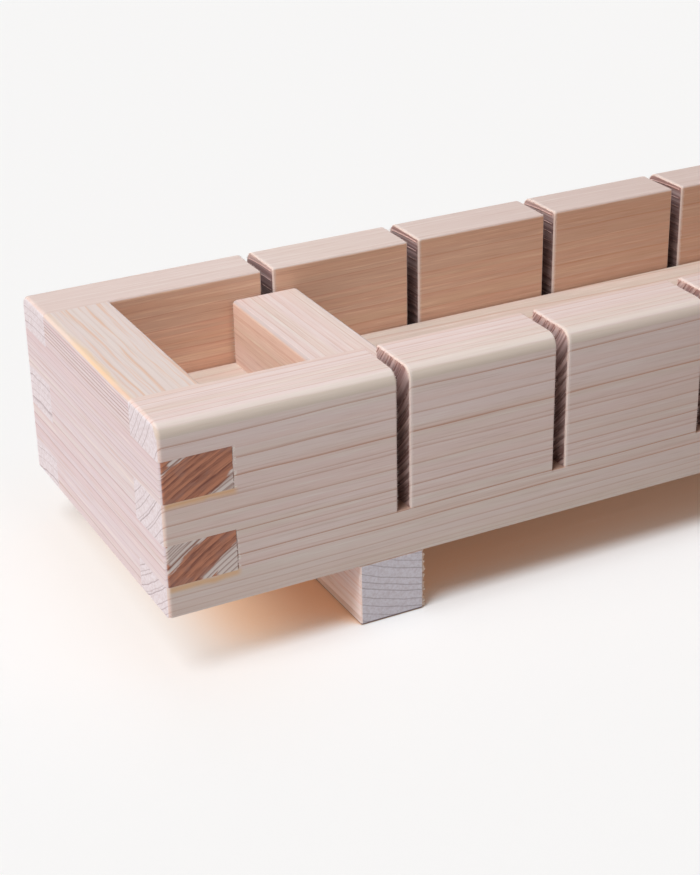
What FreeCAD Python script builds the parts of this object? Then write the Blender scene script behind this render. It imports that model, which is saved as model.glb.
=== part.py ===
import FreeCAD, Part
import os

# Box press for pressed sushi, made of bare cypress boards. All sizes in millimetres.
# X runs along the press, Y across it, Z up. The origin lies on the table under the middle.

# Room for the rice
portion_count = 7
portion_length = 39.6
inner_width = 52.0

# Frame boards
frame_height = 44.0
side_thickness = 15.0
end_thickness = 16.0

# Finger joints at the four corners
top_land = 8.0
finger_height = 9.6
least_bottom_land = 3.0

# Knife guides sawn down into both sides
guide_width = 3.0

# Base board and its two cross feet
base_thickness = 11.0
foot_width = 15.5
foot_height = 15.0
foot_inset = 52.5

# Pressing board and its two cross handles
lid_thickness = 11.5
handle_width = 17.0
handle_height = 16.0
handle_inset = 38.5

# Dowels that hold feet and handles
dowel_diameter = 6.0
dowel_bite = 8.0
dowel_spacing = 26.0
dowel_chamfer = 0.8
blind_cover = 4.0

# Clearances
base_gap = 0.5
lid_gap = 0.5
handle_gap = 0.4
glue_line = 0.05
dowel_end_gap = 0.3

# Rounded edges
long_edge_round = 3.0
corner_round = 1.0
rim_round = 0.6
guide_arris = 0.35
handle_round = 1.0
board_arris = 0.5
foot_arris = 0.3

# Sizes that follow from the ones above
inner_length = portion_count * portion_length
frame_length = inner_length + 2 * end_thickness
frame_width = inner_width + 2 * side_thickness
frame_bottom = foot_height
frame_top = frame_bottom + frame_height
base_top = foot_height + base_thickness
lid_top = base_top + lid_thickness
foot_x = frame_length / 2 - foot_inset
handle_x = inner_length / 2 - handle_inset
margin = 5.0
near_zero = 1e-6


def block(size_x, size_y, z_low, z_high, x_middle=0.0, y_middle=0.0):
    """A squared block of wood, given by its footprint, its two heights and its middle."""
    corner = FreeCAD.Vector(x_middle - size_x / 2, y_middle - size_y / 2, z_low)
    return Part.makeBox(size_x, size_y, z_high - z_low, corner)


def edges_where(solid, test):
    """The edges whose middle point and direction satisfy the test."""
    chosen = []
    for edge in solid.Edges:
        middle = edge.valueAt((edge.FirstParameter + edge.LastParameter) / 2)
        start = edge.valueAt(edge.FirstParameter)
        end = edge.valueAt(edge.LastParameter)
        if test(middle, end - start):
            chosen.append(edge)
    return chosen


def same(a, b):
    return abs(a - b) < near_zero


def one_solid(shape):
    """The single solid that an operation leaves, with its flush faces joined."""
    cleaned = shape.removeSplitter()
    assert len(cleaned.Solids) == 1
    return cleaned.Solids[0]


def guide_positions():
    """Middles of the knife guides: one between every two neighbouring portions."""
    first = -inner_length / 2 + portion_length
    return [first + i * portion_length for i in range(portion_count - 1)]


def finger_zones():
    """Heights of the end board's fingers, from the top down, as many as the height holds."""
    room = frame_height - top_land - least_bottom_land
    count = int((room + finger_height) // (2 * finger_height))
    zones = []
    for i in range(count):
        high = frame_top - top_land - 2 * i * finger_height
        zones.append((high - finger_height, high))
    return zones


def frame_blank():
    """The four frame boards as they stand after gluing: rounded over, then sawn for the knife."""
    outside = block(frame_length, frame_width, frame_bottom, frame_top)
    room = block(inner_length, inner_width, frame_bottom - margin, frame_top + margin)
    blank = outside.cut(room)

    def is_long_top(middle, way):
        return same(middle.z, frame_top) and same(abs(middle.y), frame_width / 2)

    blank = blank.makeFillet(long_edge_round, edges_where(blank, is_long_top))

    def is_end_outline(middle, way):
        above_bottom = middle.z > frame_bottom + near_zero
        return same(abs(middle.x), frame_length / 2) and above_bottom

    blank = blank.makeFillet(corner_round, edges_where(blank, is_end_outline))

    def is_rim(middle, way):
        on_side = same(abs(middle.y), inner_width / 2)
        on_end = same(abs(middle.x), inner_length / 2)
        return same(middle.z, frame_top) and (on_side or on_end)

    blank = blank.makeFillet(rim_round, edges_where(blank, is_rim))

    for x in guide_positions():
        kerf = block(guide_width, frame_width + 2 * margin, base_top, frame_top + margin, x)
        blank = blank.cut(kerf)

    walls = [x + side * guide_width / 2 for x in guide_positions() for side in (-1, 1)]

    def is_guide_arris(middle, way):
        in_wall = same(way.x, 0) and any(same(middle.x, wall) for wall in walls)
        return in_wall and middle.z > base_top + near_zero

    blank = blank.makeChamfer(guide_arris, edges_where(blank, is_guide_arris))
    return one_solid(blank)


def finger_sockets(reach_x, reach_y):
    """Blocks in all four corners at the heights of the end boards' fingers."""
    sockets = []
    for low, high in finger_zones():
        for x in (-1, 1):
            for y in (-1, 1):
                x_middle = x * (inner_length + reach_x) / 2
                y_middle = y * (inner_width + reach_y) / 2
                sockets.append(block(reach_x, reach_y, low, high, x_middle, y_middle))
    return sockets


def side_board(blank, y_sign):
    """A long side, with fingers at both ends and a guide between every two portions."""
    thickness = side_thickness + margin
    y_middle = y_sign * (inner_width + thickness) / 2
    length = frame_length + 2 * margin
    cut_out = block(length, thickness, frame_bottom - margin, frame_top + margin, 0, y_middle)
    for socket in finger_sockets(end_thickness + margin, side_thickness + margin):
        cut_out = cut_out.cut(socket)
    return one_solid(blank.common(cut_out))


def end_board(blank, x_sign):
    """A short end, whose fingers come out on the two long faces."""
    thickness = end_thickness + margin
    x_middle = x_sign * (inner_length + thickness) / 2
    cut_out = block(thickness, inner_width, frame_bottom - margin, frame_top + margin, x_middle)
    for socket in finger_sockets(end_thickness + margin, side_thickness + margin):
        cut_out = cut_out.fuse(socket)
    pieces = blank.common(cut_out).Solids
    own = [piece for piece in pieces if piece.CenterOfMass.x * x_sign > 0]
    return one_solid(own[0].multiFuse(own[1:]) if len(own) > 1 else own[0])


def dowel_places(x_middle):
    """Two dowels stand in each cross piece, one each side of its middle."""
    return [FreeCAD.Vector(x_middle, y * dowel_spacing / 2, 0) for y in (-1, 1)]


def drilled(board, places, z_low, z_high):
    """A board with a round hole at each place between two heights."""
    for place in places:
        start = FreeCAD.Vector(place.x, place.y, z_low)
        hole = Part.makeCylinder(dowel_diameter / 2 + glue_line, z_high - z_low, start)
        board = board.cut(hole)
    return board


def dowel(place, z_low, z_high, driven_up):
    """A piece of round rod, a little short of its hole. The end that is driven in last is chamfered."""
    low = z_low + dowel_end_gap
    high = z_high - dowel_end_gap
    start = FreeCAD.Vector(place.x, place.y, low)
    pin = Part.makeCylinder(dowel_diameter / 2, high - low, start)
    driven_end = high if driven_up else low
    rim = edges_where(pin, lambda middle, way: same(middle.z, driven_end))
    return pin.makeChamfer(dowel_chamfer, rim)


def base_board():
    """The board that the rice stands on. It fills the frame and lies on both feet."""
    board = block(inner_length - 2 * base_gap, inner_width - 2 * base_gap, foot_height, base_top)
    upper = edges_where(board, lambda middle, way: same(middle.z, base_top))
    board = board.makeChamfer(board_arris, upper)
    for x in (-foot_x, foot_x):
        board = drilled(board, dowel_places(x), foot_height, base_top - blind_cover)
    return board


def foot(x_middle):
    """A cross foot as long as the frame is wide, so that the frame stands on its ends."""
    bar = block(foot_width, frame_width, 0, foot_height, x_middle)
    bar = bar.makeChamfer(foot_arris, bar.Edges)
    return drilled(bar, dowel_places(x_middle), foot_height - dowel_bite, foot_height)


def lid_board():
    """The pressing board, which slides down inside the frame."""
    board = block(inner_length - 2 * lid_gap, inner_width - 2 * lid_gap, base_top, lid_top)
    board = board.makeChamfer(board_arris, board.Edges)
    for x in (-handle_x, handle_x):
        board = drilled(board, dowel_places(x), base_top + blind_cover, lid_top)
    return board


def handle(x_middle):
    """A cross handle on the pressing board, with its upper edges and corners rounded."""
    bar = block(handle_width, inner_width - 2 * handle_gap, lid_top, lid_top + handle_height, x_middle)
    exposed = edges_where(bar, lambda middle, way: middle.z > lid_top + near_zero)
    bar = bar.makeFillet(handle_round, exposed)
    return drilled(bar, dowel_places(x_middle), lid_top, lid_top + dowel_bite)


blank = frame_blank()

pieces = {
    "near_side_board": side_board(blank, -1),
    "far_side_board": side_board(blank, 1),
    "left_end_board": end_board(blank, -1),
    "right_end_board": end_board(blank, 1),
    "base_board": base_board(),
    "left_foot": foot(-foot_x),
    "right_foot": foot(foot_x),
    "lid_board": lid_board(),
    "left_handle": handle(-handle_x),
    "right_handle": handle(handle_x),
}

for end_name, sign in (("left", -1), ("right", 1)):
    for side_name, place in zip(("near", "far"), dowel_places(sign * foot_x)):
        name = end_name + "_foot_" + side_name + "_dowel"
        pieces[name] = dowel(place, foot_height - dowel_bite, base_top - blind_cover, True)
    for side_name, place in zip(("near", "far"), dowel_places(sign * handle_x)):
        name = end_name + "_handle_" + side_name + "_dowel"
        pieces[name] = dowel(place, base_top + blind_cover, lid_top + dowel_bite, False)

os.makedirs("parts", exist_ok=True)
for name, shape in pieces.items():
    shape.exportStep("parts/" + name + ".step")
    print(name, "volume", round(shape.Volume / 1000, 2), "cm3")
print("overall", frame_length, "x", frame_width, "x", frame_top)
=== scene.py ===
# %% [markdown]
# # A press for box sushi, in bare cypress
# The press is a long frame without a bottom, a base board on two feet and a pressing board with two
# handles. Every board is already there as a solid, so this lesson is about what makes it look like
# wood: growth rings that run through a board and not only over it, the marks of saw and plane, and
# soft daylight.

# %% Load the packed press
import bpy
import math
from mathutils import Matrix, Vector


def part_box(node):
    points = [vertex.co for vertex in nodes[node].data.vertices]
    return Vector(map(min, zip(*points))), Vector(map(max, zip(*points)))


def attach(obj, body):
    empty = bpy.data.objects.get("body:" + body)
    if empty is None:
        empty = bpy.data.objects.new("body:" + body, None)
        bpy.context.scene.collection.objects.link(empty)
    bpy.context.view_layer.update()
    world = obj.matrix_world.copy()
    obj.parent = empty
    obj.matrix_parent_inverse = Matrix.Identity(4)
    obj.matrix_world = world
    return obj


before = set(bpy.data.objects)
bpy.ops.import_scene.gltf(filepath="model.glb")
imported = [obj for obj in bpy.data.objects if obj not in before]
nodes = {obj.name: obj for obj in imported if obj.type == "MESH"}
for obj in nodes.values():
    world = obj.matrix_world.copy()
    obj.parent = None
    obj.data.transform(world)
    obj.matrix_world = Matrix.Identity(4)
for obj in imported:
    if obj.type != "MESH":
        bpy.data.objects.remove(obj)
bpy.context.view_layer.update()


# %% [markdown]
# ## Measures of the press
# The solids are in metres, and a maker thinks of this press in millimetres. Most sizes are read off
# the boards, so that marks and fibres land on the wood and not beside it. Only the saw cuts and the
# fingers of the corners are written down, because a board's outline doesn't tell them.

# %% Measures in millimetres
MM = 0.001
PORTIONS = 7
GUIDE_WIDTH = 3.0
FINGER_HEIGHT = 9.6
ABOVE_FINGERS = 8.0


def span(name):
    """The lowest and the highest corner of a board, in millimetres."""
    low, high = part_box(name)
    return Vector(low) / MM, Vector(high) / MM


frame_low, frame_high = span("near_side_board")
frame_end = frame_high.x
frame_half_width = -frame_low.y
frame_top, frame_bottom = frame_high.z, frame_low.z
side_inner_face = -frame_high.y
end_inner_face = span("right_end_board")[0].x
end_thickness = frame_end - end_inner_face
base_top = span("base_board")[1].z
portion_length = 2 * end_inner_face / PORTIONS
guide_middles = [-end_inner_face + portion_length * (i + 1) for i in range(PORTIONS - 1)]
finger_middles = [frame_top - ABOVE_FINGERS - share * FINGER_HEIGHT for share in (0.5, 2.5)]
print("frame", round(2 * frame_end, 1), "x", round(2 * frame_half_width, 1),
      "guides at", [round(x, 1) for x in guide_middles])

# %% [markdown]
# ## The camera
# The photograph looks down on the left end of the press with a long lens. The place and the turn of
# the camera come from fitting about 85 corners and edges of the press to the picture. Three
# directions are enough to write it down: where the camera looks, what is right and what is down in
# the picture. A turn in degrees would say the same, but it is harder to check by eye.

# %% Camera
RIGHT_IN_PICTURE = Vector((0.887638, -0.460200, -0.017748))
DOWN_IN_PICTURE = Vector((-0.216232, -0.382425, -0.898329))
VIEW_DIRECTION = Vector((0.406624, 0.801228, -0.438965))
CAMERA_PLACE = Vector((-273.265, -359.192, 220.791)) * MM
FOCAL_PIXELS = 1903.8
PICTURE_WIDTH = 700
SENSOR_WIDTH = 36.0

camera_data = bpy.data.cameras.new("camera")
camera_data.sensor_fit = "HORIZONTAL"
camera_data.sensor_width = SENSOR_WIDTH
camera_data.lens = FOCAL_PIXELS / PICTURE_WIDTH * SENSOR_WIDTH
camera_data.clip_start = 0.01
camera_data.clip_end = 50
camera = bpy.data.objects.new("camera", camera_data)
bpy.context.scene.collection.objects.link(camera)
turn = Matrix((RIGHT_IN_PICTURE, -DOWN_IN_PICTURE, -VIEW_DIRECTION)).transposed().to_4x4()
camera.matrix_world = Matrix.Translation(CAMERA_PLACE) @ turn
bpy.context.scene.camera = camera
print("lens", round(camera_data.lens, 1), "mm, distance", round(CAMERA_PLACE.length, 3), "m")

# %% [markdown]
# ## Shader maths as Python
# A material is a net of small nodes. Writing `a * 2 + b` is easier to read than placing and joining
# them, so a Wire stands for one output of a node, and arithmetic on it adds the Math nodes. Colours
# are written as a picture shows them, because that is how a maker compares them.


# %% Colours and wires
def tint(red, green, blue):
    """A colour as a picture shows it, 0 to 255, made linear for the shader."""
    shown = [value / 255 for value in (red, green, blue)]
    linear = [v / 12.92 if v <= 10 / 255 else ((v + 0.055) / 1.055) ** 2.4 for v in shown]
    return (*linear, 1.0)


class Wire:
    """One output of a node, which can be reckoned with like a number."""

    def __init__(self, net, socket):
        self.net = net
        self.socket = socket

    def reckon(self, operation, *values):
        """A Math node on some values."""
        return self.net.node("ShaderNodeMath", {"operation": operation}, dict(enumerate(values)))

    def __add__(self, other):
        return self.reckon("ADD", self, other)

    def __sub__(self, other):
        return self.reckon("SUBTRACT", self, other)

    def __rsub__(self, other):
        return self.reckon("SUBTRACT", other, self)

    def __mul__(self, other):
        return self.reckon("MULTIPLY", self, other)

    def __truediv__(self, other):
        return self.reckon("DIVIDE", self, other)

    def __pow__(self, other):
        return self.reckon("POWER", self, other)

    __radd__ = __add__
    __rmul__ = __mul__

    def size(self):
        """The value without its sign."""
        return self.reckon("ABSOLUTE", self)

    def root(self):
        """The square root."""
        return self.reckon("SQRT", self)

    def floor(self):
        """The whole number below."""
        return self.reckon("FLOOR", self)

    def rest(self):
        """What is left above that whole number."""
        return self.reckon("FRACT", self)

    def or_more(self, other):
        """The larger of two values."""
        return self.reckon("MAXIMUM", self, other)


print("cypress in the sun, made linear:", [round(value, 3) for value in tint(231, 211, 207)])

# %% [markdown]
# ## Nets and finishes
# A Net is a tree of nodes under work. Its method `node` makes any node: first come its settings,
# then the values or wires of its sockets. A Finish is the net of one material, with the few steps
# that every wood needs: a soft threshold, a mix of two colours and a noise.


# %% Nets and finishes
class Net:
    """A net of nodes while it is being built."""

    def __init__(self, tree):
        self.tree = tree
        self.tree.nodes.clear()

    def node(self, kind, settings=None, sockets=None, out=0):
        """Any node. A ramp's stops are blended in "stops" and jump from one to the next in "steps"."""
        made = self.tree.nodes.new(kind)
        for key, value in (settings or {}).items():
            if key in ("stops", "steps"):
                ramp = made.color_ramp
                ramp.interpolation = "LINEAR" if key == "stops" else "CONSTANT"
                while len(ramp.elements) < len(value):
                    ramp.elements.new(1.0)
                for element, (place, colour) in zip(ramp.elements, value):
                    element.position = place
                    element.color = colour
            else:
                setattr(made, key, value)
        for key, value in (sockets or {}).items():
            if isinstance(value, Wire):
                self.tree.links.new(value.socket, made.inputs[key])
            else:
                made.inputs[key].default_value = value
        return Wire(self, made.outputs[out]) if made.outputs else None

    def split(self, vector, kind="ShaderNodeSeparateXYZ"):
        """The three parts of a vector or of a colour."""
        parts = self.node(kind, None, {0: vector})
        return [Wire(self, socket) for socket in parts.socket.node.outputs]

    def either(self, share, first, second):
        """Two surfaces, mixed by a share."""
        return self.node("ShaderNodeMixShader", None, {0: share, 1: first, 2: second})


class Finish(Net):
    """One material while it is being built."""

    def __init__(self, name):
        self.material = bpy.data.materials.new(name)
        self.material.use_nodes = True
        super().__init__(self.material.node_tree)

    def place(self):
        """Where a point lies on the press: x, y and z in millimetres."""
        spot = self.node("ShaderNodeTexCoord", out="Object")
        sockets = {0: spot, "Scale": 1 / MM}
        return self.split(self.node("ShaderNodeVectorMath", {"operation": "SCALE"}, sockets))

    def ease(self, value, low, high):
        """0 below low, 1 above high, and a soft step between them."""
        sockets = {"Value": value, "From Min": low, "From Max": high}
        return self.node("ShaderNodeMapRange", {"interpolation_type": "SMOOTHSTEP"}, sockets)

    def between(self, value, low, high, soft):
        """1 from low to high, with soft flanks on both sides."""
        risen = self.ease(value, low - soft, low + soft)
        return risen * (1 - self.ease(value, high - soft, high + soft))

    def blend(self, share, first, second, way="MIX"):
        """Two colours mixed. In the Mix node, sockets 6 and 7 and output 2 are those for colours."""
        settings = {"data_type": "RGBA", "blend_type": way}
        return self.node("ShaderNodeMix", settings, {0: share, 6: first, 7: second}, out=2)

    def noise(self, x, y, z, detail=2.0, rough=0.5, out=0):
        """A cloudy value from 0 to 1, or a cloudy colour. Larger x, y and z give smaller clouds."""
        place = self.node("ShaderNodeCombineXYZ", None, {0: x, 1: y, 2: z})
        sockets = {"Vector": place, "Scale": 1.0, "Detail": detail, "Roughness": rough}
        return self.node("ShaderNodeTexNoise", None, sockets, out)

    def chance(self, number, out=0):
        """A value or a colour by chance, the same for the same number."""
        return self.node("ShaderNodeTexWhiteNoise", {"noise_dimensions": "1D"}, {"W": number}, out)


print("a finish can:", ", ".join(name for name in vars(Finish) if not name.startswith("_")))

# %% [markdown]
# ## Two soft lights and a dim sky
# In the picture the tops and the left end are bright, the near side is in half shade, and the shadow
# under the press is warm. So there is one broad cool light from above and a weaker warm one from low
# on the left, which reaches under the frame as far as the foot. They are suns and not lamps, because
# a sun lights the whole table evenly, and its angle is how soft a shadow's edge gets. A dim sky fills
# the rest. Added up, level surfaces get neutral light of strength 1, so a colour looks as written.

# %% Lights
SKY = Vector((1.0, 0.94, 0.88)) * 0.25
LOW_LIGHT = Vector((1.0, 0.72, 0.51)) * 0.34
FROM_LOW_LEFT = Vector((-0.95, 0.0, 0.31)).normalized()
FROM_ABOVE = Vector((-0.42, -0.12, 0.90)).normalized()
HIGH_LIGHT = (Vector((1, 1, 1)) - SKY - LOW_LIGHT * FROM_LOW_LEFT.z) / FROM_ABOVE.z


def broad_light(name, colour, direction, degrees):
    """A sun as wide as a window. Its strength is what a face turned towards it gets."""
    lamp = bpy.data.lights.new(name, "SUN")
    lamp.energy = math.pi * max(colour)
    lamp.color = colour / max(colour)
    lamp.angle = math.radians(degrees)
    holder = bpy.data.objects.new(name, lamp)
    holder.rotation_euler = direction.to_track_quat("Z", "Y").to_euler()
    bpy.context.scene.collection.objects.link(holder)
    print(name, "strength", round(lamp.energy, 2), "colour", [round(c, 2) for c in lamp.color])


broad_light("light from above", HIGH_LIGHT, FROM_ABOVE, 27)
broad_light("low light from the left", LOW_LIGHT, FROM_LOW_LEFT, 30)

# %% [markdown]
# ## A pale room
# The picture's background is nearly white, and the wood would bleach under a sky that bright. So the
# world is two things. To the light that falls on the press it is the dim sky, and to the camera, a
# mirror or a glass it is a pale room. The kind of ray, from Light Path, chooses between them.

# %% The room
WHITE = tint(247, 247, 247)


def seen_directly(net):
    """1 for what the camera, a mirror or a glass shows, and 0 for light that falls on the press."""
    seen = net.node("ShaderNodeLightPath", out="Is Camera Ray")
    for way in ("Is Glossy Ray", "Is Transmission Ray"):
        seen = seen.or_more(net.node("ShaderNodeLightPath", out=way))
    return seen


world = bpy.data.worlds.new("dim sky")
bpy.context.scene.world = world
world.use_nodes = True
bpy.context.scene.view_settings.view_transform = "Standard"
room = Net(world.node_tree)
sky_colour = (*(SKY / SKY.x), 1)
dim = room.node("ShaderNodeBackground", None, {"Color": sky_colour, "Strength": SKY.x})
pale = room.node("ShaderNodeBackground", None, {"Color": WHITE, "Strength": 1.0})
room.node("ShaderNodeOutputWorld", None, {"Surface": room.either(seen_directly(room), dim, pale)})
print("sky strength", SKY.x, "colour", [round(c, 2) for c in sky_colour])

# %% [markdown]
# ## A table that takes on the wood's colour
# Light that gets under the press goes to and fro between bare wood and table, and comes out orange.
# A few bounces on a plain floor stay grey. An Ambient Occlusion node tells how much of the sky the
# press hides from a point of the table, and the more it hides, the browner the table gets. By the
# left end the low light spills out again as a peach halo, which is a little glow. Both are only to be
# seen: to the light that goes on to the press the table is plain grey.

# %% The table
SKY_REACH = 45.0
BROWN = (1.0, 0.60, 0.34, 1.0)
EVEN_GLOW = 0.10
HALO_GLOW = 1.3
TABLE_EDGE = 6.0

ground = Finish("pale table")
seen = seen_directly(ground)
table_x = ground.place()[0]
open_sky = ground.node("ShaderNodeAmbientOcclusion", {"samples": 16},
                       {"Distance": SKY_REACH * MM}, out="AO")
closed = 1 - open_sky

speck = ground.noise(*ground.split(ground.node("ShaderNodeTexCoord", out="Object")), 3, 0.6)
paper = ground.blend(speck, WHITE, tint(246, 246, 246))
brown = ground.ease(closed, 0.54, 0.86) * (1 - ground.ease(table_x, -100.0, 0.0) * 0.65)
paper = ground.blend(brown, paper, BROWN, "MULTIPLY")
paper = ground.blend(seen, tint(208, 208, 208), paper)
dull = ground.node("ShaderNodeBsdfDiffuse", None, {"Color": paper})

at_left = 1 - ground.ease(table_x, -158.0, -110.0)
peach = ground.ease(closed, 0.4, 0.75) * ground.ease(table_x, -152.0, -128.0)
halo_colour = ground.blend(peach, tint(250, 242, 236), tint(250, 212, 180))
glow = ground.node("ShaderNodeEmission", None, {"Color": halo_colour, "Strength": 1.0})
lit = ground.either(seen * (at_left * closed * HALO_GLOW + EVEN_GLOW), dull, glow)
ground.node("ShaderNodeOutputMaterial", None, {"Surface": lit})

floor_mesh = bpy.data.meshes.new("floor")
corners = [(x * TABLE_EDGE, y * TABLE_EDGE, 0) for x, y in ((-1, -1), (1, -1), (1, 1), (-1, 1))]
floor_mesh.from_pydata(corners, [], [(0, 1, 2, 3)])
floor_mesh.materials.append(ground.material)
floor = bpy.data.objects.new("floor", floor_mesh)
bpy.context.scene.collection.objects.link(floor)
print("table", 2 * TABLE_EDGE, "m wide, with", len(ground.tree.nodes), "nodes")

# %% [markdown]
# ## Where a point lies in its tree
# A board is a straight piece of a trunk. Each point has a distance along the grain and a distance
# from the pith, the middle of the trunk, which usually lies outside the board. The same rings then
# show as lines on the faces and as arcs on the sawn ends, and they meet at every edge, as in real
# wood. An image or a wave texture on each face can't do that. Every board gets a pith of its own,
# because no two boards come from the same place. Where the picture shows a board's lines, their
# heights and strengths are given, and elsewhere the years are about evenly wide.

# %% The trunk of a board
WIDEST_YEAR = 10.0


def years_from(pith, lines):
    """Distance from the pith and darkness of every year line, from where it crosses a face."""
    return sorted((math.hypot(a - pith[0], b - pith[1]), dark) for a, b, dark in lines)


class Trunk:
    """Where the points of a board lie, in millimetres: along the grain, and one and two across it."""

    def __init__(self, finish, grain, pith, spacing=2.0, lines=None, wander=5.0, slope=0.0,
                 seed=0.0):
        self.finish = finish
        self.seed = seed
        self.x, self.y, self.z = axes = finish.place()
        faces = finish.split(finish.node("ShaderNodeTexCoord", out="Normal"))
        self.facing_x, self.facing_y, self.facing_z = faces
        order = {"X": (0, 1, 2), "Y": (1, 0, 2), "Z": (2, 0, 1)}[grain]
        self.along, self.one, self.two = (axes[i] for i in order)
        self.end_grain = finish.ease(faces[order[0]].size(), 0.72, 0.93)

        # A trunk is never quite straight, so its middle wanders slowly along the board.
        drift = finish.noise(self.along * 0.006 + seed, self.one * 0.02, self.two * 0.02, 2, 0.45,
                             out="Color")
        drift = finish.split(drift, "ShaderNodeSeparateColor")
        across = self.one - pith[0] + (drift[0] - 0.5) * wander
        up = self.two - pith[1] + (drift[1] - 0.5) * wander - self.along * slope
        self.radius = (across * across + up * up).root()
        if lines:
            self.counted_years(years_from(pith, lines))
        else:
            self.even_years(spacing)

    def even_years(self, spacing):
        """Years of about the same width, each a little different."""
        finish, seed = self.finish, self.seed
        ripple = finish.noise(self.along * 0.045 + seed, self.one * 0.25, self.two * 0.25, 1) - 0.5
        uneven = finish.noise(self.radius * 0.22 + seed * 3, 0.0, 0.0, 1) - 0.5
        years = self.radius / spacing + ripple * 0.2 + uneven * 2.0
        self.late, self.year = years.rest(), years.floor()
        self.before = (1 - self.late) * spacing
        self.strength = None

    def counted_years(self, years):
        """Years read off the board. One ramp counts them, the other holds width and strength."""
        finish = self.finish
        first, last, count = years[0][0], years[-1][0], len(years) - 1
        ripple = finish.noise(self.along * 0.03 + self.seed, self.one * 0.32, self.two * 0.32, 1)
        share = (self.radius + (ripple - 0.5) * 0.5 - first) / (last - first)
        stops = [((radius - first) / (last - first), (i / count,) * 3 + (1,))
                 for i, (radius, _) in enumerate(years)]
        counted = finish.node("ShaderNodeValToRGB", {"stops": stops}, {0: share})
        facts = [(i / count, ((years[i + 1][0] - years[i][0]) / WIDEST_YEAR, years[i + 1][1], 0, 1))
                 for i in range(count)]
        facts = finish.node("ShaderNodeValToRGB", {"steps": facts}, {0: counted})
        facts = finish.split(facts, "ShaderNodeSeparateColor")
        years = counted * count
        self.late, self.year = years.rest(), years.floor()
        self.before = (1 - self.late) * facts[0] * WIDEST_YEAR
        self.strength = facts[1]


print("a ring through a corner 3 across and 4 up:", years_from((0, 0), [(3, 4, 0.5)]))

# %% [markdown]
# ## Cypress
# Fresh planed cypress is a pale pinkish cream. Each year is a broad pale band that darkens slowly
# and ends in a thin brown line. Some years are strong and some faint, and the bands differ a little
# in hue. Long fibres make finer streaks inside every band. On sawn ends the same wood looks cooler,
# because the open cells scatter light, and there the lines are darker. All of it comes from a
# point's place in its trunk, so a whole board takes one material without any seam.

# %% Colours of cypress
PALE = tint(231, 211, 207)
BLUSH = tint(229, 200, 191)
CREAM = tint(223, 208, 195)
LINE = tint(186, 129, 100)
LIGHT_FIBRE = tint(240, 230, 224)
DARK_FIBRE = tint(206, 178, 166)
FALLOFF_SHADE = tint(168, 142, 132)
END_PALE = tint(229, 224, 232)
END_SHADE = tint(212, 202, 208)
END_LINE = tint(160, 143, 150)


def cypress(trunk, pale=PALE, blush=BLUSH, cream=CREAM, line=LINE, line_share=0.85,
            top_share=0.85, quiet=None, shade_to_right=0.0):
    """Colour and height of planed cypress, before any marks of use or of tools, with painted shade
    towards the right end.
    """
    finish, seed = trunk.finish, trunk.seed

    # How dark the line of this year is, and how far its blush reaches inwards.
    chance = finish.split(finish.chance(trunk.year + seed, out="Color"), "ShaderNodeSeparateColor")
    strength = chance[0] * 0.7 + 0.2 if trunk.strength is None else trunk.strength
    fade = finish.noise(trunk.along * 0.013 + seed, trunk.year * 7.3, 0.0, 1)
    late = (1 - finish.ease(trunk.before, 0.0, 0.42)) ** 1.5
    dark = late * strength * (fade * 0.8 + 0.6)
    halo = (1 - finish.ease(trunk.before, 0.1, 1.7)) * (chance[1] * 0.7 + 0.2)

    # The pale wood between the lines, and its fibres.
    band = finish.noise(trunk.along * 0.008, trunk.radius * 0.3 + seed, 0.0)
    wood = finish.blend(finish.ease(band, 0.42, 0.66) * 0.6, pale, cream)
    wood = finish.blend(finish.ease(chance[2], 0.4, 0.9) * 0.4, wood, blush)
    wood = finish.blend(halo * 0.6, wood, blush)
    fibre = finish.noise(trunk.along * 0.03, trunk.one * 1.4 + seed, trunk.two * 1.4, 3, 0.75)
    hair = finish.noise(trunk.along * 0.12, trunk.one * 3.6, trunk.two * 3.6 + seed, 2, 0.6)
    trunk.streak = (fibre - 0.5) * 0.9 + (hair - 0.5) * 0.5
    contrast = 0.55 if quiet is None else quiet * 0.3 + 0.55
    wood = finish.blend(finish.ease(trunk.streak, 0.0, 0.26) * contrast, wood, LIGHT_FIBRE)
    wood = finish.blend(finish.ease(0 - trunk.streak, 0.0, 0.26) * contrast, wood, DARK_FIBRE)
    lying = finish.ease(trunk.facing_z, 0.5, 0.95)
    # Painted shade that grows towards the right end, where light from the left falls off; tops get
    # less.
    falloff_shade = finish.ease(trunk.x, -120.0, 60.0) * shade_to_right * (1 - lying * 0.3)
    wood = finish.blend(falloff_shade, wood, FALLOFF_SHADE)

    # The lines, which a quiet face and a top show more faintly.
    share = dark * line_share * (1 - lying * (1 - top_share))
    if quiet is not None:
        share = share * (1 - quiet * 0.4)
    wood = finish.blend(share, wood, line)

    # The sawn ends.
    ray = finish.noise(trunk.one * 1.5, trunk.two * 1.5, trunk.along * 0.3, 3, 0.65)
    cut = finish.blend(finish.ease(ray, 0.3, 0.75), END_PALE, END_SHADE)
    cut = finish.blend(late * (strength * 0.4 + 0.45), cut, END_LINE)
    colour = finish.blend(trunk.end_grain, wood, cut)
    on_faces = (fibre * 0.5 + hair * 0.3) * (1 - trunk.end_grain)
    height = on_faces + ray * trunk.end_grain * 0.8 - dark * 0.5
    return colour, height


print("cypress: pale", [round(v, 2) for v in PALE[:3]], "line", [round(v, 2) for v in LINE[:3]])

# %% [markdown]
# ## The surface of bare wood
# The press is planed and never oiled, so it hardly shines. Along the fibres it is a little smoother
# than between them, and sawn ends are rougher. The heights of fibres and lines are hundredths of a
# millimetre, which is too fine for real geometry, so a Bump node tilts the light instead.


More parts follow.
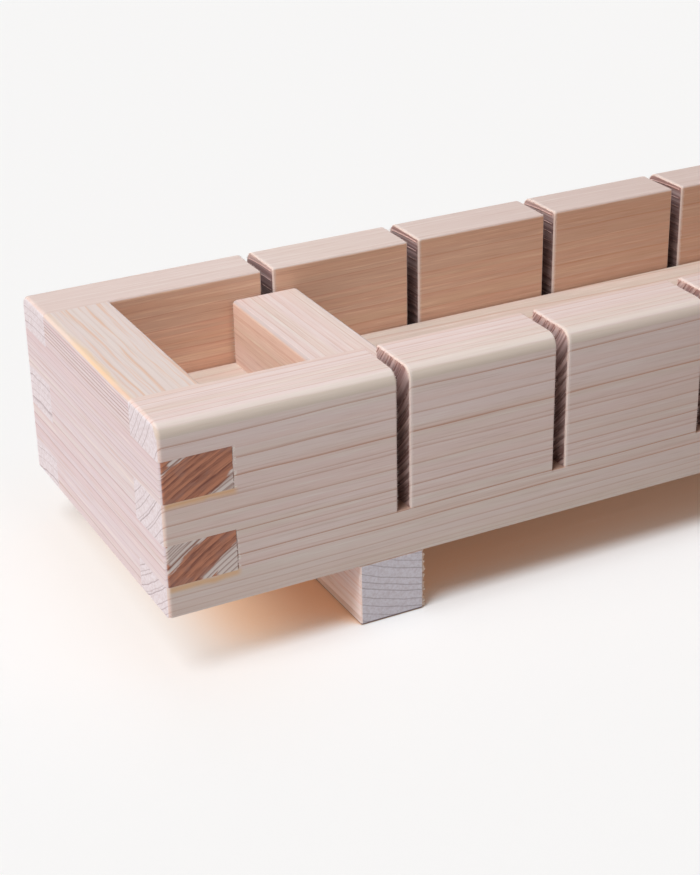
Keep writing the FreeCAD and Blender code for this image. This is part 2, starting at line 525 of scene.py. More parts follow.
# %% From colour and height to a finish
def surfaced(finish, colour, roughness, height, strength, depth, sheen=0.5):
    """Closes a material: its colour, its roughness and a relief of some depth in millimetres."""
    bump = finish.node("ShaderNodeBump", None,
                       {"Strength": strength, "Distance": depth * MM, "Height": height})
    skin = finish.node("ShaderNodeBsdfPrincipled", None,
                       {"Base Color": colour, "Roughness": roughness, "Normal": bump,
                        "Specular IOR Level": sheen})
    finish.node("ShaderNodeOutputMaterial", None, {"Surface": skin})
    return finish.material


def planed(trunk, colour, height, rough=0.6):
    """The surface of a board: dull wood with a trace of sheen from the plane."""
    smoother = trunk.finish.ease(trunk.streak, -0.3, 0.3) * 0.08
    roughness = smoother + trunk.end_grain * 0.14 + rough
    return surfaced(trunk.finish, colour, roughness, height, 0.25, 0.12, sheen=0.22)


def wear(material, *boards):
    """Gives a finish to the boards that have it."""
    for board in boards:
        nodes[board].material_slots[0].material = material
    print(material.name, "->", ", ".join(boards))


# %% [markdown]
# ## The long sides
# Both sides were cut beside the pith, so the rings cross the upright faces as fine level lines that
# get closer towards the bottom, and the top as wider, softer ones. The outer top edge is rounded
# over and shows the cream wood under the surface, with one clear year line just below it; the lower
# half of the rounding carries painted shade and its crown a painted highlight. The inside carries
# painted warm bounce light. Such marks depend on which way a face looks, so they are masks made
# from its direction and laid over the cypress.

# %% Rounded edge and warm inside
INNER_BOUNCE_LIGHT = (1.16, 0.95, 0.77, 1.0)
UNDER_BOUNCE_LIGHT = (1.2, 0.72, 0.42, 1.0)


def warm_below(trunk, colour):
    """Faces that look down get a painted warm bounce light from the table."""
    under = trunk.finish.ease(0 - trunk.facing_z, 0.7, 0.95)
    return trunk.finish.blend(under, colour, UNDER_BOUNCE_LIGHT, "MULTIPLY")


def side_faces(trunk, colour, out, outside, inside):
    """The rounded top edge with painted shade and highlight, the yellower foot of the outer face and
    painted warm light inside.
    """
    finish = trunk.finish
    edge = finish.ease(out, 0.05, 0.3)
    # Painted shade on the lower half of the rounding, over its cream wood.
    rounded = finish.between(trunk.facing_z, 0.06, 0.66, 0.08) * edge
    colour = finish.blend(rounded * 0.6, colour, tint(208, 193, 177))
    # Painted highlight along the crown of the rounding.
    crown_highlight = finish.between(trunk.facing_z, 0.72, 0.94, 0.06) * edge
    colour = finish.blend(crown_highlight * 0.5, colour, tint(233, 222, 212))
    low = 1 - finish.ease(trunk.z, frame_bottom + 1, frame_bottom + 10)
    colour = finish.blend(low * outside * 0.3, colour, tint(214, 203, 190))
    # Painted warm bounce light on the inner face.
    colour = finish.blend(inside, colour, INNER_BOUNCE_LIGHT, "MULTIPLY")
    return warm_below(trunk, colour)


print("inner faces are multiplied by", INNER_BOUNCE_LIGHT[:3], "and undersides by", UNDER_BOUNCE_LIGHT[:3])

# %% [markdown]
# ## Glue and gaps beside the fingers
# Where the fingers of the end boards come through, a thin line of glue has run out below each of
# them. Its end doesn't meet the wood everywhere: a hairline gap is left, with small pale chips
# along it. These are thinner than a tenth of a millimetre, so they are painted and not modelled.


# %% Glue, gaps and chips
def corner_marks(trunk, colour, outside, from_end, crumbs):
    """The marks around the finger ends, on the outer face of a side board."""
    finish = trunk.finish
    wave = finish.noise(trunk.x * 0.15, trunk.z * 0.1, 0.0) - 0.5
    for middle in finger_middles:
        low, high = middle - FINGER_HEIGHT / 2, middle + FINGER_HEIGHT / 2
        below = finish.between(trunk.z + wave * 2, low - 1.2, low + 0.3, 0.6)
        glue = below * finish.between(from_end, 0.5, end_thickness + 0.5, 0.9) * outside
        colour = finish.blend(glue * 0.72, colour, tint(232, 184, 134))

        beside = finish.between(trunk.z, low, high, 0.2) * outside
        gap = finish.between(from_end + wave, end_thickness, end_thickness + 0.2, 0.1) * beside
        colour = finish.blend(gap * finish.ease(crumbs, 0.4, 0.5), colour, tint(112, 70, 54))
        chip = finish.between(from_end, end_thickness + 0.1, end_thickness + 0.8, 0.25) * beside
        colour = finish.blend(chip * finish.ease(crumbs, 0.52, 0.6) * 0.8, colour,
                              tint(244, 234, 226))
    return colour


print("fingers around", [round(z, 1) for z in finger_middles], "mm, each", FINGER_HEIGHT, "high")

# %% [markdown]
# ## The knife guides
# The guides are sawn through both long sides at once. On the face, the saw leaves a torn edge on
# one side of a cut, which carries a painted highlight, and the other edge carries a painted shade.
# Its walls are end grain with saw marks and ring stripes, under painted shade deep down and a
# painted lighter pink near the top, where the light reaches. Distance to the nearest guide comes
# from one repeated ruler along the board, so all six need one mask.


# %% Edges and walls of the guides
def guide_edges(trunk, colour, outside, from_end, crumbs):
    """A painted highlight on the torn edge and a painted shade on the other edge of every guide."""
    finish = trunk.finish
    past_ends = finish.ease(from_end, 30, 32)
    above_base = finish.ease(trunk.z, base_top - 0.4, base_top)
    here = past_ends * above_base * (1 - trunk.end_grain)
    nearest = ((trunk.x + end_inner_face) / portion_length + 0.5).rest() - 0.5
    past_guide = nearest * portion_length - GUIDE_WIDTH / 2
    # Painted highlight along the torn edge of each guide.
    torn = finish.between(past_guide, -0.3, crumbs * 1.2 + 0.2, 0.25) * here
    colour = finish.blend(torn * 0.42, colour, tint(244, 230, 224))
    # Painted shade along the other edge, which faces away from the light.
    before_guide = 0 - nearest * portion_length - GUIDE_WIDTH / 2
    shaded_edge = finish.between(before_guide, -0.3, 0.35, 0.15) * here * outside
    return finish.blend(shaded_edge * 0.4, colour, tint(150, 128, 112))


def guide_walls(trunk, colour, height, from_end, wall_shade):
    """The walls and the bottom of every guide, with painted shade deep down and painted light near the
    top.
    """
    finish = trunk.finish
    wall = trunk.end_grain * finish.ease(from_end, 7, 8)
    saw = finish.noise(trunk.x * 0.2, trunk.radius * 1.1, trunk.z * 0.04, 2, 0.7)
    # Saw marks and ring stripes, on a colour darkened as painted shade deep in the cut.
    shaded_wall = finish.blend(finish.ease(saw, 0.35, 0.65), tint(214, 180, 170), tint(150, 110, 100))
    shaded_wall = finish.blend(finish.ease(trunk.late, 0.3, 0.9) * 0.6, shaded_wall, tint(104, 70, 62))
    # More painted shade for the walls of the far side.
    shaded_wall = finish.blend(wall_shade, shaded_wall, tint(92, 64, 64))
    # Painted light: a lighter pink near the top, where light reaches into the cut.
    lit_top = finish.ease(trunk.z, frame_top - 4.5, frame_top - 1.0) * (1 - wall_shade * 0.5)
    lit_wall = finish.blend(finish.ease(saw, 0.4, 0.6), tint(244, 216, 210), tint(190, 148, 142))
    shaded_wall = finish.blend(lit_top * 0.8, shaded_wall, lit_wall)
    colour = finish.blend(wall * 0.92, colour, shaded_wall)
    # Painted shade on the bottom of the cut.
    deep = 1 - finish.ease(trunk.z, base_top + 1, base_top + 2)
    shaded_bed = finish.ease(trunk.facing_z, 0.8, 0.95) * deep
    colour = finish.blend(shaded_bed * 0.85, colour, tint(186, 144, 122))
    return colour, height + wall * saw * 2.0


print("guides", GUIDE_WIDTH, "mm wide, one every", round(portion_length, 1), "mm")

# %% [markdown]
# ## The rings of the long sides
# On the near side the picture shows every year line, so the rings pass through the heights where
# the lines cross the face and the places where they cross the top. The far side shows only its warm
# inside, so its years are even ones around a pith of its own.

# %% Both long sides
near_on_face = (
    (54.6, 0.9), (51.0, 0.15), (48.9, 0.6), (45.7, 0.2), (44.8, 0.9), (41.5, 0.5), (40.6, 0.55),
    (37.1, 0.7), (34.3, 0.5), (32.2, 0.9), (30.3, 0.4), (29.2, 0.4), (26.5, 1.0), (24.5, 0.25),
    (23.7, 0.85), (20.4, 0.65), (18.8, 0.5), (17.2, 0.45), (16.3, 0.3), (frame_bottom, 0.3),
)
near_on_top = ((-37.9, 0.5), (-35.9, 0.5), (-33.8, 0.3), (-32.1, 0.35), (-29.9, 0.55),
               (-27.6, 0.35), (-25.9, 0.2))
near_lines = [(-frame_half_width, z, dark) for z, dark in near_on_face]
near_lines += [(y, frame_top, dark) for y, dark in near_on_top]
near_rings = dict(pith=(14, 90), lines=near_lines, wander=1.2, slope=0.005, seed=3.4)
far_rings = dict(pith=(26, -62), spacing=2.4, wander=4, seed=11.0)


def long_side(name, outward, rings, pale, wall_shade):
    """A side board with all its marks."""
    finish = Finish(name)
    trunk = Trunk(finish, "X", **rings)
    out = trunk.facing_y * outward
    outside = finish.ease(out, 0.9, 0.99)
    inside = finish.ease(0 - out, 0.85, 0.97)
    from_end = frame_end - trunk.x.size()
    crumbs = finish.noise(trunk.x * 0.7, trunk.y, trunk.z * 1.6, 2, 0.7)
    colour, height = cypress(trunk, pale=pale, quiet=inside, shade_to_right=0.5)
    colour = side_faces(trunk, colour, out, outside, inside)
    colour = corner_marks(trunk, colour, outside, from_end, crumbs)
    colour = guide_edges(trunk, colour, outside, from_end, crumbs)
    colour, height = guide_walls(trunk, colour, height, from_end, wall_shade)
    return planed(trunk, colour, height)


# The last number is how much more painted shade the guide walls get.
wear(long_side("near_side wood", -1, near_rings, PALE, 0.0), "near_side_board")
wear(long_side("far_side wood", 1, far_rings, tint(221, 204, 198), 0.5), "far_side_board")

# %% [markdown]
# ## The short ends
# The end boards are cut from the outer part of the trunk: near their outer top edge the years are
# very narrow, and the top face, which cuts the rings at a flat angle, has broad orange streaks. A
# stain of resin runs along its outer edge. The streaks are a noise drawn out along the board, and
# the stain is a band whose width follows another noise, so neither ends in a straight line.


# %% Streaks and resin on the top
def end_top(trunk, colour, outward, seed):
    """The orange streaks and the stain on the top of an end board."""
    finish = trunk.finish
    up = finish.ease(trunk.facing_z, 0.35, 0.6)
    colour = finish.blend(up * 0.6, colour, tint(229, 212, 200))
    wavy = finish.noise(trunk.y * 0.05, seed, 0.0) * 2.0
    streaks = finish.noise(trunk.x * 1.2 + wavy, trunk.y * 0.025, seed, 2, 0.6)
    colour = finish.blend(finish.ease(streaks, 0.5, 0.68) * up * 0.6, colour, tint(222, 176, 142))
    from_outside = (trunk.x - outward * frame_end) * -outward
    spread = finish.noise(trunk.x * 0.3, trunk.y * 0.12, 3.0, 3, 0.6)
    edge = 1 - finish.ease(from_outside - spread * 2.8, -0.4, 0.7)
    strong = finish.between(trunk.y, -17.0, 8.0, 5.0) * 0.6 + 0.3
    return finish.blend(edge * strong * up * 0.7, colour, tint(236, 202, 160))


print("the stain is strongest from y = -17 to 8 mm")

# %% [markdown]
# ## The sawn ends of the fingers
# They come out on the long sides. There the open cells have soaked up glue, and sanding has
# burnished them, so they are dark red-brown with slanting rings and stay pale in some corners. The
# glue creeps along the years: each strip of years is soaked as far as chance has it, around a core
# that is dark throughout. A round blot would look painted on.

# %% Soaked finger ends
SOAKED = tint(204, 140, 112)
SOAKED_LINE = tint(138, 90, 78)
DRY_PATCH = tint(170, 128, 116)
CORE_WIDTHS = (0.80, 0.46)


def finger_ends(trunk, colour, outward, end_middle, seed):
    """The dark and the pale parts of the two finger ends on each long side."""
    finish = trunk.finish
    blotch = finish.noise(trunk.radius * 0.9, trunk.z * 0.25, seed, 3, 0.65) - 0.5
    strip = (trunk.radius + blotch * 0.6).floor()
    reach = finish.chance(strip + seed)
    patches = []
    for middle, width in zip(finger_middles, CORE_WIDTHS):
        aside, above = (trunk.x - end_middle) * -outward, trunk.z - middle
        across = (above * 1.35 - aside) / 11.0 + blotch * 0.7
        core = 1 - finish.ease(across.size(), width, width + 0.1)
        along_rings = aside * 0.87 + above * 0.5 + blotch * 3
        run = finish.ease(reach * 13 - 10 - along_rings, -0.4, 0.4)
        patches.append(core.or_more(run) * finish.between(trunk.z, middle - 5.4, middle + 5.4, 0.2))

    slow = finish.noise(trunk.radius * 1.6, trunk.z * 0.3, 5.0, 3, 0.65)
    lines = finish.ease(trunk.late, 0.25, 0.95) * 0.55 + finish.ease(slow, 0.4, 0.7) * 0.6
    dark_end = finish.blend(lines, SOAKED, SOAKED_LINE)
    dry = finish.noise(trunk.radius * 0.35, trunk.z * 0.12 + trunk.x * 0.12, 9.0, 2, 0.6)
    dark_end = finish.blend(finish.ease(dry, 0.5, 0.66) * 0.5, dark_end, DRY_PATCH)
    fine = finish.ease((trunk.radius * 0.95).rest(), 0.5, 0.9) * 0.6
    stripes = finish.ease(trunk.late, 0.5, 0.95) * 0.5 + fine
    pale_end = finish.blend(stripes, tint(230, 216, 211), tint(150, 104, 88))
    outer_skin = finish.ease(trunk.y.size(), frame_half_width - 1.0, frame_half_width - 0.6)
    soaked = patches[0] + patches[1]
    return finish.blend(trunk.end_grain * outer_skin, colour,
                        finish.blend(soaked, pale_end, dark_end))


print("finger ends around", round(end_inner_face + end_thickness / 2, 1), "mm from the middle")

# %% [markdown]
# ## The rings of the short ends
# The left end is the brightest face of the picture, so its lines are at the heights where the
# picture has them, crowded at the top and wide apart in the middle. The right end lies outside the
# picture and gets even years of the same narrow kind.

# %% Both short ends
left_on_face = (
    (57.8, 0.6), (56.9, 0.8), (56.2, 0.9), (55.3, 0.9), (54.3, 0.85), (53.4, 0.9), (52.4, 0.4),
    (51.4, 0.5), (49.3, 0.35), (48.0, 0.25), (46.7, 0.4), (45.7, 0.35), (44.4, 0.5), (42.6, 0.4),
    (41.0, 0.35), (38.0, 0.35), (35.0, 0.5), (32.3, 0.5), (29.4, 0.5), (28.0, 0.2), (26.4, 0.55),
    (24.0, 0.25), (21.8, 0.25), (18.9, 0.3), (17.1, 0.5), (frame_bottom, 0.2),
)
left_lines = [(-frame_end, z, dark) for z, dark in left_on_face]
left_lines += [(-153.6, frame_top, 0.3), (-138.6, frame_top, 0.2)]
left_rings = dict(pith=(-90, -53), lines=left_lines, wander=1.5, seed=21.0)
right_rings = dict(pith=(95, -44), spacing=1.5, wander=4, seed=27.0)


def short_end(name, outward, rings):
    """An end board with all its marks."""
    finish = Finish(name)
    trunk = Trunk(finish, "Y", **rings)
    inside = finish.ease(trunk.facing_x * -outward, 0.85, 0.97)
    colour, height = cypress(trunk, pale=tint(219, 209, 217), blush=tint(217, 196, 202),
                             cream=tint(219, 212, 211), line=tint(152, 116, 112), top_share=0.5,
                             quiet=inside)
    colour = end_top(trunk, colour, outward, rings["seed"])
    # Painted warm bounce light on the inner face.
    colour = finish.blend(inside, colour, INNER_BOUNCE_LIGHT, "MULTIPLY")
    colour = warm_below(trunk, colour)
    end_middle = outward * (frame_end - end_thickness / 2)
    colour = finger_ends(trunk, colour, outward, end_middle, rings["seed"])
    return planed(trunk, colour, height)


wear(short_end("left_end wood", -1, left_rings), "left_end_board")
wear(short_end("right_end wood", 1, right_rings), "right_end_board")

# %% [markdown]
# ## The boards that lie inside
# The base board and the pressing board are flat-sawn, so the rings lie nearly level in them and
# cross their tops as wide lines. Their wood is a little yellower than that of the frame. They have
# no marks of their own, so a plain cypress with a pith far above or below them is enough.

# %% Base board and pressing board
LID_PALE = tint(213, 196, 183)
base_rings = dict(pith=(14, -70), spacing=1.8, seed=31.0)
lid_rings = dict(pith=(-8, 110), spacing=1.9, seed=37.0)


def flat_board(name, rings, pale):
    """The trunk, the colour and the height of a flat-sawn board."""
    trunk = Trunk(Finish(name), "X", **rings)
    colour, height = cypress(trunk, pale=pale, cream=tint(214, 197, 180), line=tint(186, 142, 116),
                             top_share=0.6, shade_to_right=0.15)
    return trunk, colour, height


base, base_colour, base_height = flat_board("base board wood", base_rings, PALE)
wear(planed(base, warm_below(base, base_colour), base_height), "base_board")
wear(planed(*flat_board("pressing board wood", lid_rings, LID_PALE)), "lid_board")

# %% [markdown]
# ## Feet and handles
# They are short sticks, sawn off across the grain. Their ends show the rings as gently sagging
# lines. Their sides carry painted light: brighter and paler on the feet, and a painted warm bounce
# on the handles. Near the bottom the sides are darker in patches, and the lowest edge carries a
# painted contact shadow. The left foot's lines are at the picture's heights, as they were for the
# frame, and the other sticks have even years.

# %% Sticks
HANDLE_SIDE_BOUNCE = (1.04, 0.95, 0.85, 1.0)
FOOT_SIDE_LIGHT = (1.24, 1.35, 1.42, 1.0)
FOOT_FROM_END = 52.5

foot_middle = FOOT_FROM_END - frame_end
foot_lines = [(foot_middle, z, dark) for z, dark in (
    (18.2, 0.5), (16.3, 0.5), (14.4, 0.35), (12.5, 0.75), (10.0, 0.7), (8.3, 0.75), (6.8, 0.75),
    (4.6, 0.6), (2.7, 0.6), (0.6, 0.35), (-1.2, 0.3), (-3.2, 0.3),
)]


def stick(name, rings, side_light):
    """A foot or a handle, which lies across the press."""
    finish = Finish(name)
    trunk = Trunk(finish, "Y", **rings)
    side = finish.ease(trunk.facing_x.size(), 0.6, 0.95)
    colour, height = cypress(trunk, line=tint(190, 142, 120), line_share=0.5, top_share=1.0,
                             quiet=side)
    # Painted light on the sides: brighter and paler on the feet, warm bounce light on the handles.
    colour = finish.blend(side, colour, side_light, "MULTIPLY")
    slanting = finish.between(trunk.facing_x.size(), 0.3, 0.9, 0.15)
    upper_round = slanting * finish.ease(trunk.facing_z, 0.1, 0.4)
    colour = finish.blend(upper_round * 0.75, colour, tint(194, 182, 180))
    # Darker in patches towards the bottom of the sides.
    low_patches = finish.noise(trunk.along * 0.02, trunk.z * 1.1, 4.0, 2, 0.6)
    low = (1 - finish.ease(trunk.z, 1.5, 5.0)) * side * finish.ease(low_patches, 0.4, 0.6)
    colour = finish.blend(low * 0.4, colour, tint(186, 160, 146))
    # Painted contact shadow along the lowest edge.
    contact_shadow = 1 - finish.ease(trunk.z, 0.35, 0.6)
    colour = finish.blend(contact_shadow * 0.85, colour, tint(112, 92, 88))
    return planed(trunk, colour, height)


for name, side_paint, rings in (
    ("left_foot", FOOT_SIDE_LIGHT, dict(pith=(foot_middle + 23.4, 84), lines=foot_lines, wander=1.0,
                                  seed=41.0)),
    ("right_foot", FOOT_SIDE_LIGHT, dict(pith=(118, 78), spacing=1.9, wander=1.5, seed=43.0)),
    ("left_handle", HANDLE_SIDE_BOUNCE, dict(pith=(-60, 20), wander=2, seed=47.0)),
    ("right_handle", HANDLE_SIDE_BOUNCE, dict(pith=(140, 20), wander=2, seed=49.0)),
):
    wear(stick(name + " wood", rings, side_paint), name)

# %% [markdown]
# ## The hidden dowels
# Feet and handles are held by short rods of a harder wood, which only show when the press is taken
# apart. A rod is split and turned along its grain, so its rings run lengthwise and are nearly
# straight. The same cypress does, with yellower colours and a pith far away.

# %% Dowels
rod = Trunk(Finish("dowel wood"), "Z", pith=(-300, 60), spacing=1.1, wander=1, seed=53.0)
rod_colour, rod_height = cypress(rod, pale=tint(222, 196, 158), blush=tint(214, 182, 140),
                                 cream=tint(226, 204, 170), line=tint(172, 128, 84))
dowels = [name for name in nodes if name.endswith("dowel")]
wear(planed(rod, rod_colour, rod_height, rough=0.5), *dowels)

# %% [markdown]
# ## Trees that make shapes
# Ridges and splinters come in hundreds, so Geometry Nodes make them. A tree is a net with named
# inputs, here the paths to follow, some sizes and the wood. It is written once and run for each
# piece, and the result is kept as a plain mesh that moves with its body.


# %% Shapes
class Shape(Net):
    """A Geometry Nodes tree while it is being built. Its inputs may be set for each use."""

    def __init__(self, name, sizes):
        super().__init__(bpy.data.node_groups.new(name, "GeometryNodeTree"))
        panel = self.tree.interface
        panel.new_socket("Paths", in_out="INPUT", socket_type="NodeSocketGeometry")
        kinds = {int: "NodeSocketInt", float: "NodeSocketFloat", tuple: "NodeSocketVector"}
        for size_name, value in sizes.items():
            socket = panel.new_socket(size_name, in_out="INPUT", socket_type=kinds[type(value)])
            socket.default_value = value
        panel.new_socket("Wood", in_out="INPUT", socket_type="NodeSocketMaterial")
        panel.new_socket("Made", in_out="OUTPUT", socket_type="NodeSocketGeometry")
        entry = self.node("NodeGroupInput").socket.node
        self.given = {socket.name: Wire(self, socket) for socket in entry.outputs if socket.name}

    def close(self, geometry):
        """Ends the tree: everything becomes real mesh, in the wood that was given."""
        real = self.node("GeometryNodeRealizeInstances", None, {0: geometry})
        real = self.node("GeometryNodeSetMaterial", None,
                         {"Geometry": real, "Material": self.given["Wood"]})
        self.node("NodeGroupOutput", None, {0: real})


def grown(name, shape, paths, wood, sizes, body):
    """Runs a tree on some paths, keeps the result as a plain mesh and lets it ride on a body."""
    points, edges = [], []
    for path in paths:
        edges += [(len(points) + i, len(points) + i + 1) for i in range(len(path) - 1)]
        points += [Vector(point) * MM for point in path]
    lines = bpy.data.meshes.new(name + "_paths")
    lines.from_pydata(points, edges, [])
    piece = bpy.data.objects.new(name, lines)
    bpy.context.scene.collection.objects.link(piece)
    growth = piece.modifiers.new("growth", "NODES")
    growth.node_group = shape.tree
    wanted = {**sizes, "Wood": wood}
    for item in shape.tree.interface.items_tree:
        if item.in_out == "INPUT" and item.name in wanted:
            growth[item.identifier] = wanted[item.name]
    scene_state = bpy.context.evaluated_depsgraph_get()
    mesh = bpy.data.meshes.new_from_object(piece.evaluated_get(scene_state))
    # Some results keep an empty material slot before the wood, so the slots are made anew.
    mesh.materials.clear()
    mesh.materials.append(wood)
    piece.modifiers.clear()
    piece.data = mesh
    mesh.name = name
    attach(piece, body)
    print(name, len(paths), "paths,", len(mesh.polygons), "faces")


# %% [markdown]
# ## Rings that stand proud in the guides
# The saw tears the soft early wood out of the guide walls and leaves the hard line of each year
# standing. Seen from the end these ridges are arcs around the pith, so the same list of years that
# colours a board also gives their paths. A tree sweeps a small round section along each path. They
# could be drawn as bumps, but real ridges also notch the edge of the guide, which a bump can't do.

# %% A tree for ridges
ridge_shape = Shape("raised rings", {"Height": 0.14 * MM, "Sides": 6})
given = ridge_shape.given
curves = ridge_shape.node("GeometryNodeMeshToCurve", None, {0: given["Paths"]})
section = ridge_shape.node("GeometryNodeCurvePrimitiveCircle", None,
                           {"Resolution": given["Sides"], "Radius": given["Height"]})
swept = ridge_shape.node("GeometryNodeCurveToMesh", None,
                         {"Curve": curves, "Profile Curve": section, "Fill Caps": True})
ridge_shape.close(swept)
print(ridge_shape.tree.name, "has", len(ridge_shape.tree.nodes), "nodes")

# %% [markdown]
# ## Paths and wood of the ridges
# A ridge runs only where its wall has wood: between the two faces of the board, above the bottom of
# the cut and under the rounded edge. So each ring is walked round in small steps, and the steps
# inside that outline are kept. Deep in the guide the ridges carry painted shade, and near the top
# a painted lighter pink, like the wall they stand on.

# %% The ridges
EDGE_ROUND = 3.0
INSIDE_BY = 0.2
STEPS_ROUND = 720
FAR_YEARS = range(30, 60)


def ring_paths(outward, pith, radii):
    """The arcs of the year rings on both walls of every guide of one side board."""
    paths = []
    for radius in radii:
        arc = []
        for step in range(STEPS_ROUND):
            angle = math.radians(step * 360 / STEPS_ROUND)
            y, z = pith[0] + radius * math.cos(angle), pith[1] + radius * math.sin(angle)
            depth = frame_half_width - y * outward
            in_board = INSIDE_BY < depth < frame_half_width - side_inner_face - INSIDE_BY
            in_cut = base_top + INSIDE_BY < z < frame_top - INSIDE_BY
            past_round = math.hypot(max(0, EDGE_ROUND - depth), max(0, z - frame_top + EDGE_ROUND))
            if in_board and in_cut and past_round < EDGE_ROUND - INSIDE_BY:
                arc.append((y, z))
        if len(arc) > 2:
            for middle in guide_middles:
                for wall in (-1, 1):
                    paths.append([(middle + wall * GUIDE_WIDTH / 2, y, z) for y, z in arc])
    return paths


def raised_wood():
    """Hard late wood on a guide wall, with painted shade deep down and a painted lighter pink near the
    top.
    """
    finish = Finish("raised ring wood")
    x, y, z = finish.place()
    mottle = finish.noise(x * 0.4, y * 0.6, z * 0.6, 3, 0.6)
    # Painted shade deep in the guide, and a painted lighter pink near the top.
    deep = finish.blend(finish.ease(mottle, 0.35, 0.65), tint(180, 146, 136), tint(132, 98, 90))
    near_top = finish.ease(z, frame_top - 5.0, frame_top - 1.5)
    colour = finish.blend(near_top * 0.8, deep, tint(236, 198, 190))
    return surfaced(finish, colour, 0.75, mottle, 0.3, 0.05)


ring_wood = raised_wood()
near_radii = [radius for radius, _ in years_from(near_rings["pith"], near_lines)]
far_radii = [far_rings["spacing"] * year for year in FAR_YEARS]
for name, outward, rings, radii in (("near_guide_ridges", -1, near_rings, near_radii),
                                    ("far_guide_ridges", 1, far_rings, far_radii)):
    grown(name, ridge_shape, ring_paths(outward, rings["pith"], radii), ring_wood, {},
          "frame")

# %% [markdown]
# ## Torn fibres
# Wherever a saw leaves the wood, it pulls some fibres out instead of cutting them. They fringe the
# edges of the guides, the lower edge of the frame and the ends of the feet and handles. A tree sets
# points along each edge and puts a thin tapered splinter on every point, each with its own lean and
# length. Hair particles could do it too, but they can't be kept as a plain mesh with a fixed seed.

# %% A tree for splinters
splinter_shape = Shape("torn fibres", {
    "Spacing": 0.6 * MM, "Thickness": 0.07 * MM, "Length": 0.5 * MM, "Bluntness": 0.2,
    "Lean": (0.0, 0.0, 0.0), "Unruliness": (0.5, 0.5, 0.5), "Seed": 1,
})
given = splinter_shape.given
edge_curves = splinter_shape.node("GeometryNodeMeshToCurve", None, {0: given["Paths"]})
places = splinter_shape.node("GeometryNodeCurveToPoints", {"mode": "LENGTH"},
                             {0: edge_curves, "Length": given["Spacing"]})
splinter = splinter_shape.node("GeometryNodeMeshCone", {"fill_type": "NGON"}, {
    "Vertices": 5, "Radius Top": given["Thickness"] * given["Bluntness"],
    "Radius Bottom": given["Thickness"], "Depth": given["Length"],
})
opposite = splinter_shape.node("ShaderNodeVectorMath", {"operation": "SCALE"},
                               {0: given["Unruliness"], "Scale": -1.0})
turn_by = splinter_shape.node("FunctionNodeRandomValue", {"data_type": "FLOAT_VECTOR"},
                              {0: opposite, 1: given["Unruliness"], "Seed": given["Seed"]})
lean = splinter_shape.node("ShaderNodeVectorMath", {"operation": "ADD"},
                           {0: given["Lean"], 1: turn_by})
stretch = splinter_shape.node("FunctionNodeRandomValue", {"data_type": "FLOAT_VECTOR"}, {
    0: (0.5, 0.5, 0.1), 1: (1.2, 1.2, 1.3), "Seed": given["Seed"] + 7,
})
splinters = splinter_shape.node("GeometryNodeInstanceOnPoints", None, {
    "Points": places, "Instance": splinter, "Rotation": lean, "Scale": stretch,
})
splinter_shape.close(splinters)
print(splinter_shape.tree.name, "has", len(splinter_shape.tree.nodes), "nodes")

# %% [markdown]
# ## The wood of a splinter
# A torn fibre is fresh wood without any ring of its own, and some fibres are darker than others. A
# colour for each splinter would need data on the mesh. A fine noise through all of them gives the
# same mix of pale and dark, and it takes no more than one material.


# %% Wood of the splinters
def fibre_wood(name, pale, tip):
    """A loose splinter: pale, with some darker ones among them."""
    finish = Finish(name)
    x, y, z = finish.place()
    mood = finish.noise(x * 1.2, y * 1.2, z * 1.2, 3, 0.6)
    colour = finish.blend(finish.ease(mood, 0.35, 0.65), pale, tip)
    return surfaced(finish, colour, 0.7, mood, 0.2, 0.03)


guide_fibres = fibre_wood("fibres at the guides", tint(243, 226, 220), tint(206, 168, 152))
torn_fibres = fibre_wood("fibres at sawn ends", tint(240, 222, 208), tint(222, 190, 166))
print("woods:", guide_fibres.name, "and", torn_fibres.name)

# %% [markdown]
# ## The fringes of the guides
# A torn fringe follows both edges of every cut, over the rounded top and down to the bottom of the
# cut. Its fibres stand just under the surface and lean out across the edge, so only their tips
# show. The edge is drawn once as a path of a few points, and repeated at every guide.

# %% Fringes of the guides
FRINGE_DEPTH = 0.2
FRINGE_BESIDE = 0.12
ROUND_STEPS = 8


def guide_edge(outward, x):
    """The line down one edge of a guide, just under the surface."""
    top, face = frame_top - FRINGE_DEPTH, frame_half_width - FRINGE_DEPTH
    middle_y, middle_z = frame_half_width - EDGE_ROUND, frame_top - EDGE_ROUND
    path = [(x, outward * y, top) for y in (side_inner_face + 0.4, middle_y)]
    for step in range(1, ROUND_STEPS):
        angle = math.pi / 2 * step / ROUND_STEPS
        y = middle_y + (EDGE_ROUND - FRINGE_DEPTH) * math.sin(angle)
        z = middle_z + (EDGE_ROUND - FRINGE_DEPTH) * math.cos(angle)
        path.append((x, outward * y, z))
    path += [(x, outward * face, z) for z in (middle_z, base_top + 0.3)]
    return path


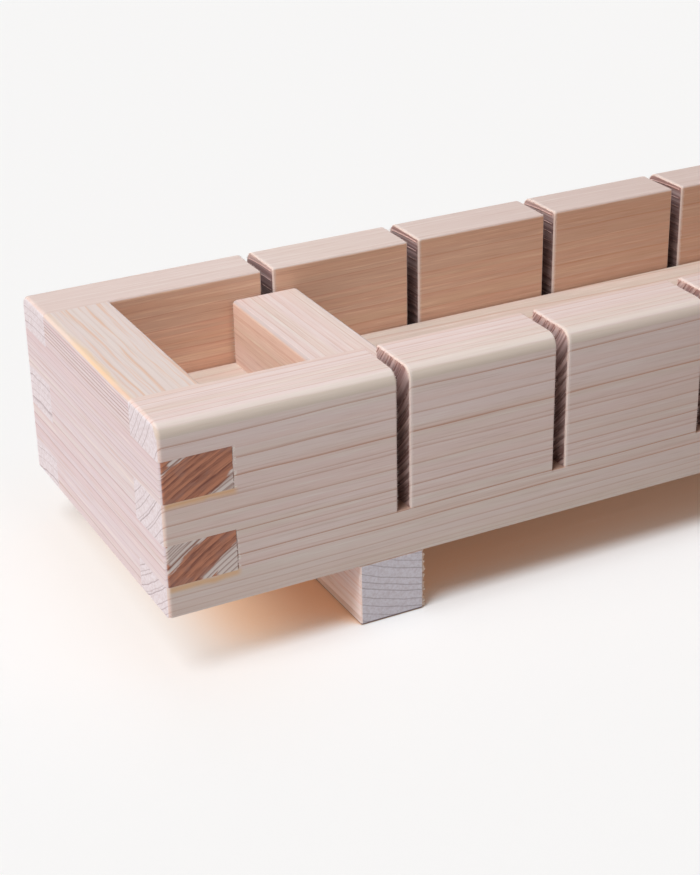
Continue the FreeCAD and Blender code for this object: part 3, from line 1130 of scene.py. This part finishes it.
for side, outward in (("near", -1), ("far", 1)):
    for way, name in ((-1, "left"), (1, "right")):
        beside = way * (GUIDE_WIDTH / 2 + FRINGE_BESIDE)
        edges = [guide_edge(outward, x + beside) for x in guide_middles]
        sizes = {"Spacing": 0.55 * MM, "Length": 0.42 * MM, "Lean": (0.0, -way * math.pi / 2, 0.0),
                 "Unruliness": (0.1, 0.25, 0.12), "Seed": 11 + outward + 2 * way}
        grown(side + "_" + name + "_guide_fringe", splinter_shape, edges, guide_fibres, sizes,
              "frame")

# %% [markdown]
# ## The other fringes
# A few fibres hang from the lower edge of the frame. On the feet the saw has torn out a coarse lip,
# so its splinters are thick, blunt and close together. On the handles only a fine fringe is left at
# the ends. All three use the same tree with other sizes, because they are the same thing.

# %% Fringes of the frame, the feet and the handles
lower_edges, foot_corners, handle_corners = [], [], []
for side in (-1, 1):
    y, z = side * (frame_half_width - 0.2), frame_bottom + 0.1
    lower_edges.append([(x * (frame_end - 1.5), y, z) for x in (-1, 1)])
for name in ("left_foot", "right_foot"):
    low, high = span(name)
    for end in (-1, 1):
        y = end * (frame_half_width - 0.75)
        foot_corners.append([(high.x, y, low.z + 0.7), (high.x, y, high.z - 0.6)])
for name in ("left_handle", "right_handle"):
    low, high = span(name)
    for end in (-1, 1):
        x, y = low.x + 0.15, end * (high.y - 0.4)
        handle_corners.append([(x, y, low.z + 1), (x, y, high.z - 1)])

grown("frame_lower_fringe", splinter_shape, lower_edges, guide_fibres, {
    "Spacing": 2.3 * MM, "Thickness": 0.1 * MM, "Length": 0.55 * MM, "Lean": (0.0, 2.3, 0.0),
    "Unruliness": (0.1, 0.4, 0.1), "Seed": 3,
}, "frame")
grown("foot_fringe", splinter_shape, foot_corners, torn_fibres, {
    "Spacing": 0.38 * MM, "Thickness": 0.52 * MM, "Length": 0.6 * MM, "Bluntness": 0.75,
    "Lean": (0.0, 1.6, 0.0), "Unruliness": (0.1, 0.4, 0.1), "Seed": 5,
}, "base")
grown("handle_fringe", splinter_shape, handle_corners, torn_fibres, {
    "Spacing": 0.8 * MM, "Thickness": 0.14 * MM, "Length": 0.6 * MM, "Lean": (0.0, -1.5, 0.0),
    "Unruliness": (0.1, 0.5, 0.1), "Seed": 9,
}, "lid")

# %% [markdown] ## End of the finish
